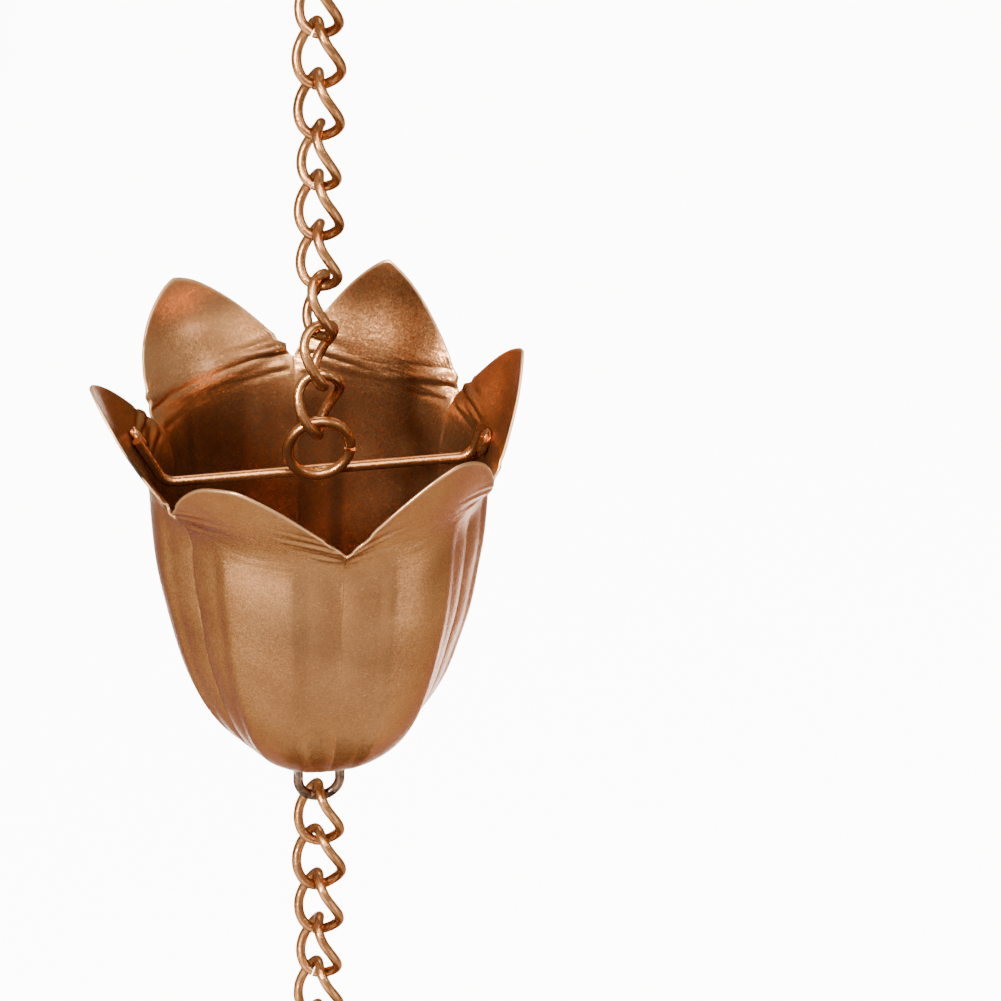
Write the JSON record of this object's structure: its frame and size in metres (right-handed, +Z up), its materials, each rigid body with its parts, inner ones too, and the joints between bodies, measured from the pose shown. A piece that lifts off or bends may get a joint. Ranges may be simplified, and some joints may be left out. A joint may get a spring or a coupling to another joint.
{
  "type": "rain chain",
  "caption": "Hanging rain chain of flower-shaped sheet-metal cups joined by runs of twisted wire links, which leads rain water down from a gutter.",
  "frame": {"origin": "under the upper bow of the top link, on the chain's line, where a hook bears", "axes": "+Z up along the hanging chain, -Y towards the side that the picture's close-up shows, +X to its right"},
  "size_m": [0.0913, 0.0871, 0.9176],
  "materials": {
    "cup_paint": "copper-bronze metallic paint on thin pressed sheet, satin with a fine sparkle",
    "wire_paint": "copper-coloured metallic paint on round wire, brighter than the cups",
    "eye_wire": "copper-coloured paint on round wire, worn through to dark and bare steel in patches"
  },
  "bodies": {
    "stub_link_1": {"stub_link_1": "wire_paint"},
    "stub_link_2": {"stub_link_2": "wire_paint"},
    "stub_link_3": {"stub_link_3": "wire_paint"},
    "stub_link_4": {"stub_link_4": "wire_paint"},
    "cup_1": {"cup_1": "cup_paint", "crossbar_1": "wire_paint", "hanger_ring_1": "wire_paint", "bottom_eye_1": "eye_wire"},
    "run_a_link_01": {"run_a_link_01": "wire_paint"},
    "run_a_link_02": {"run_a_link_02": "wire_paint"},
    "run_a_link_03": {"run_a_link_03": "wire_paint"},
    "run_a_link_04": {"run_a_link_04": "wire_paint"},
    "run_a_link_05": {"run_a_link_05": "wire_paint"},
    "run_a_link_06": {"run_a_link_06": "wire_paint"},
    "run_a_link_07": {"run_a_link_07": "wire_paint"},
    "run_a_link_08": {"run_a_link_08": "wire_paint"},
    "run_a_link_09": {"run_a_link_09": "wire_paint"},
    "run_a_link_10": {"run_a_link_10": "wire_paint"},
    "run_a_link_11": {"run_a_link_11": "wire_paint"},
    "run_a_link_12": {"run_a_link_12": "wire_paint"},
    "cup_2": {"cup_2": "cup_paint", "crossbar_2": "wire_paint", "hanger_ring_2": "wire_paint", "bottom_eye_2": "eye_wire"},
    "run_b_link_01": {"run_b_link_01": "wire_paint"},
    "run_b_link_02": {"run_b_link_02": "wire_paint"},
    "run_b_link_03": {"run_b_link_03": "wire_paint"},
    "run_b_link_04": {"run_b_link_04": "wire_paint"},
    "run_b_link_05": {"run_b_link_05": "wire_paint"},
    "run_b_link_06": {"run_b_link_06": "wire_paint"},
    "run_b_link_07": {"run_b_link_07": "wire_paint"},
    "run_b_link_08": {"run_b_link_08": "wire_paint"},
    "run_b_link_09": {"run_b_link_09": "wire_paint"},
    "run_b_link_10": {"run_b_link_10": "wire_paint"},
    "run_b_link_11": {"run_b_link_11": "wire_paint"},
    "run_b_link_12": {"run_b_link_12": "wire_paint"},
    "cup_3": {"cup_3": "cup_paint", "crossbar_3": "wire_paint", "hanger_ring_3": "wire_paint", "bottom_eye_3": "eye_wire"},
    "run_c_link_01": {"run_c_link_01": "wire_paint"},
    "run_c_link_02": {"run_c_link_02": "wire_paint"},
    "run_c_link_03": {"run_c_link_03": "wire_paint"},
    "run_c_link_04": {"run_c_link_04": "wire_paint"},
    "run_c_link_05": {"run_c_link_05": "wire_paint"},
    "run_c_link_06": {"run_c_link_06": "wire_paint"},
    "run_c_link_07": {"run_c_link_07": "wire_paint"},
    "run_c_link_08": {"run_c_link_08": "wire_paint"},
    "run_c_link_09": {"run_c_link_09": "wire_paint"},
    "run_c_link_10": {"run_c_link_10": "wire_paint"},
    "run_c_link_11": {"run_c_link_11": "wire_paint"},
    "run_c_link_12": {"run_c_link_12": "wire_paint"},
    "cup_4": {"cup_4": "cup_paint", "crossbar_4": "wire_paint", "hanger_ring_4": "wire_paint", "bottom_eye_4": "eye_wire"},
    "tail_link_1": {"tail_link_1": "wire_paint"},
    "tail_link_2": {"tail_link_2": "wire_paint"},
    "tail_link_3": {"tail_link_3": "wire_paint"}
  },
  "joints": [
    {"name": "stub_link_2_swing", "type": "hinge", "parent": "stub_link_1", "child": "stub_link_2", "pos_m": [0, 0, -0.0137], "axis": [1, 0, 0], "range_deg": [-35, 35]},
    {"name": "stub_link_3_swing", "type": "hinge", "parent": "stub_link_2", "child": "stub_link_3", "pos_m": [0, 0, -0.0235], "axis": [0.866, 0.5, 0], "range_deg": [-35, 35]},
    {"name": "stub_link_4_swing", "type": "hinge", "parent": "stub_link_3", "child": "stub_link_4", "pos_m": [0, 0, -0.0383], "axis": [-0.5, 0.866, 0], "range_deg": [-35, 35]},
    {"name": "cup_1_swing", "type": "hinge", "parent": "stub_link_4", "child": "cup_1", "pos_m": [0, 0, -0.048], "axis": [-0.9962, -0.0872, 0], "range_deg": [-35, 35]},
    {"name": "run_a_link_01_swing", "type": "hinge", "parent": "cup_1", "child": "run_a_link_01", "pos_m": [0, 0, -0.1466], "axis": [0.9848, 0.1736, 0], "range_deg": [-35, 35]},
    {"name": "run_a_link_02_swing", "type": "hinge", "parent": "run_a_link_01", "child": "run_a_link_02", "pos_m": [0, 0, -0.1564], "axis": [-0.2924, 0.9563, 0], "range_deg": [-35, 35]},
    {"name": "run_a_link_03_swing", "type": "hinge", "parent": "run_a_link_02", "child": "run_a_link_03", "pos_m": [0, 0, -0.1712], "axis": [-0.9563, -0.2924, 0], "range_deg": [-35, 35]},
    {"name": "run_a_link_04_swing", "type": "hinge", "parent": "run_a_link_03", "child": "run_a_link_04", "pos_m": [0, 0, -0.181], "axis": [-0.1045, -0.9945, 0], "range_deg": [-35, 35]},
    {"name": "run_a_link_05_swing", "type": "hinge", "parent": "run_a_link_04", "child": "run_a_link_05", "pos_m": [0, 0, -0.1958], "axis": [0.9945, -0.1045, 0], "range_deg": [-35, 35]},
    {"name": "run_a_link_06_swing", "type": "hinge", "parent": "run_a_link_05", "child": "run_a_link_06", "pos_m": [0, 0, -0.2056], "axis": [0, 1, 0], "range_deg": [-35, 35]},
    {"name": "run_a_link_07_swing", "type": "hinge", "parent": "run_a_link_06", "child": "run_a_link_07", "pos_m": [0, 0, -0.2204], "axis": [-1, 0, 0], "range_deg": [-35, 35]},
    {"name": "run_a_link_08_swing", "type": "hinge", "parent": "run_a_link_07", "child": "run_a_link_08", "pos_m": [0, 0, -0.2302], "axis": [-0.0349, -0.9994, 0], "range_deg": [-35, 35]},
    {"name": "run_a_link_09_swing", "type": "hinge", "parent": "run_a_link_08", "child": "run_a_link_09", "pos_m": [0, 0, -0.245], "axis": [0.9994, -0.0349, 0], "range_deg": [-35, 35]},
    {"name": "run_a_link_10_swing", "type": "hinge", "parent": "run_a_link_09", "child": "run_a_link_10", "pos_m": [0, 0, -0.2548], "axis": [0.5592, 0.829, 0], "range_deg": [-35, 35]},
    {"name": "run_a_link_11_swing", "type": "hinge", "parent": "run_a_link_10", "child": "run_a_link_11", "pos_m": [0, 0, -0.2696], "axis": [-0.829, 0.5592, 0], "range_deg": [-35, 35]},
    {"name": "run_a_link_12_swing", "type": "hinge", "parent": "run_a_link_11", "child": "run_a_link_12", "pos_m": [0, 0, -0.2794], "axis": [-0.9994, -0.0349, 0], "range_deg": [-35, 35]},
    {"name": "cup_2_swing", "type": "hinge", "parent": "run_a_link_12", "child": "cup_2", "pos_m": [0, 0, -0.2942], "axis": [0.0349, -0.9994, 0], "range_deg": [-35, 35]},
    {"name": "run_b_link_01_swing", "type": "hinge", "parent": "cup_2", "child": "run_b_link_01", "pos_m": [0, 0, -0.3877], "axis": [-0.0872, 0.9962, 0], "range_deg": [-35, 35]},
    {"name": "run_b_link_02_swing", "type": "hinge", "parent": "run_b_link_01", "child": "run_b_link_02", "pos_m": [0, 0, -0.4025], "axis": [-0.9962, -0.0872, 0], "range_deg": [-35, 35]},
    {"name": "run_b_link_03_swing", "type": "hinge", "parent": "run_b_link_02", "child": "run_b_link_03", "pos_m": [0, 0, -0.4123], "axis": [0.0698, -0.9976, 0], "range_deg": [-35, 35]},
    {"name": "run_b_link_04_swing", "type": "hinge", "parent": "run_b_link_03", "child": "run_b_link_04", "pos_m": [0, 0, -0.4271], "axis": [0.9976, 0.0698, 0], "range_deg": [-35, 35]},
    {"name": "run_b_link_05_swing", "type": "hinge", "parent": "run_b_link_04", "child": "run_b_link_05", "pos_m": [0, 0, -0.4369], "axis": [-0.1219, 0.9925, 0], "range_deg": [-35, 35]},
    {"name": "run_b_link_06_swing", "type": "hinge", "parent": "run_b_link_05", "child": "run_b_link_06", "pos_m": [0, 0, -0.4517], "axis": [-0.9925, -0.1219, 0], "range_deg": [-35, 35]},
    {"name": "run_b_link_07_swing", "type": "hinge", "parent": "run_b_link_06", "child": "run_b_link_07", "pos_m": [0, 0, -0.4615], "axis": [-0.2419, -0.9703, 0], "range_deg": [-35, 35]},
    {"name": "run_b_link_08_swing", "type": "hinge", "parent": "run_b_link_07", "child": "run_b_link_08", "pos_m": [0, 0, -0.4763], "axis": [0.9703, -0.2419, 0], "range_deg": [-35, 35]},
    {"name": "run_b_link_09_swing", "type": "hinge", "parent": "run_b_link_08", "child": "run_b_link_09", "pos_m": [0, 0, -0.4861], "axis": [0.1736, 0.9848, 0], "range_deg": [-35, 35]},
    {"name": "run_b_link_10_swing", "type": "hinge", "parent": "run_b_link_09", "child": "run_b_link_10", "pos_m": [0, 0, -0.5009], "axis": [-0.9848, 0.1736, 0], "range_deg": [-35, 35]},
    {"name": "run_b_link_11_swing", "type": "hinge", "parent": "run_b_link_10", "child": "run_b_link_11", "pos_m": [0, 0, -0.5107], "axis": [-0.8829, -0.4695, 0], "range_deg": [-35, 35]},
    {"name": "run_b_link_12_swing", "type": "hinge", "parent": "run_b_link_11", "child": "run_b_link_12", "pos_m": [0, 0, -0.5255], "axis": [0.4695, -0.8829, 0], "range_deg": [-35, 35]},
    {"name": "cup_3_swing", "type": "hinge", "parent": "run_b_link_12", "child": "cup_3", "pos_m": [0, 0, -0.5352], "axis": [0.9962, 0.0872, 0], "range_deg": [-35, 35]},
    {"name": "run_c_link_01_swing", "type": "hinge", "parent": "cup_3", "child": "run_c_link_01", "pos_m": [0, 0, -0.6338], "axis": [-0.9848, -0.1736, 0], "range_deg": [-35, 35]},
    {"name": "run_c_link_02_swing", "type": "hinge", "parent": "run_c_link_01", "child": "run_c_link_02", "pos_m": [0, 0, -0.6436], "axis": [0.2924, -0.9563, 0], "range_deg": [-35, 35]},
    {"name": "run_c_link_03_swing", "type": "hinge", "parent": "run_c_link_02", "child": "run_c_link_03", "pos_m": [0, 0, -0.6584], "axis": [0.9563, 0.2924, 0], "range_deg": [-35, 35]},
    {"name": "run_c_link_04_swing", "type": "hinge", "parent": "run_c_link_03", "child": "run_c_link_04", "pos_m": [0, 0, -0.6682], "axis": [0.1045, 0.9945, 0], "range_deg": [-35, 35]},
    {"name": "run_c_link_05_swing", "type": "hinge", "parent": "run_c_link_04", "child": "run_c_link_05", "pos_m": [0, 0, -0.683], "axis": [-0.9945, 0.1045, 0], "range_deg": [-35, 35]},
    {"name": "run_c_link_06_swing", "type": "hinge", "parent": "run_c_link_05", "child": "run_c_link_06", "pos_m": [0, 0, -0.6928], "axis": [0, -1, 0], "range_deg": [-35, 35]},
    {"name": "run_c_link_07_swing", "type": "hinge", "parent": "run_c_link_06", "child": "run_c_link_07", "pos_m": [0, 0, -0.7076], "axis": [1, 0, 0], "range_deg": [-35, 35]},
    {"name": "run_c_link_08_swing", "type": "hinge", "parent": "run_c_link_07", "child": "run_c_link_08", "pos_m": [0, 0, -0.7174], "axis": [0.0349, 0.9994, 0], "range_deg": [-35, 35]},
    {"name": "run_c_link_09_swing", "type": "hinge", "parent": "run_c_link_08", "child": "run_c_link_09", "pos_m": [0, 0, -0.7322], "axis": [-0.9994, 0.0349, 0], "range_deg": [-35, 35]},
    {"name": "run_c_link_10_swing", "type": "hinge", "parent": "run_c_link_09", "child": "run_c_link_10", "pos_m": [0, 0, -0.742], "axis": [-0.5592, -0.829, 0], "range_deg": [-35, 35]},
    {"name": "run_c_link_11_swing", "type": "hinge", "parent": "run_c_link_10", "child": "run_c_link_11", "pos_m": [0, 0, -0.7568], "axis": [0.829, -0.5592, 0], "range_deg": [-35, 35]},
    {"name": "run_c_link_12_swing", "type": "hinge", "parent": "run_c_link_11", "child": "run_c_link_12", "pos_m": [0, 0, -0.7666], "axis": [0.9994, 0.0349, 0], "range_deg": [-35, 35]},
    {"name": "cup_4_swing", "type": "hinge", "parent": "run_c_link_12", "child": "cup_4", "pos_m": [0, 0, -0.7814], "axis": [-0.0349, 0.9994, 0], "range_deg": [-35, 35]},
    {"name": "tail_link_1_swing", "type": "hinge", "parent": "cup_4", "child": "tail_link_1", "pos_m": [0, 0, -0.8749], "axis": [0.0872, -0.9962, 0], "range_deg": [-35, 35]},
    {"name": "tail_link_2_swing", "type": "hinge", "parent": "tail_link_1", "child": "tail_link_2", "pos_m": [0, 0, -0.8897], "axis": [0.9962, 0.0872, 0], "range_deg": [-35, 35]},
    {"name": "tail_link_3_swing", "type": "hinge", "parent": "tail_link_2", "child": "tail_link_3", "pos_m": [0, 0, -0.8995], "axis": [-0.0698, 0.9976, 0], "range_deg": [-35, 35]}
  ]
}
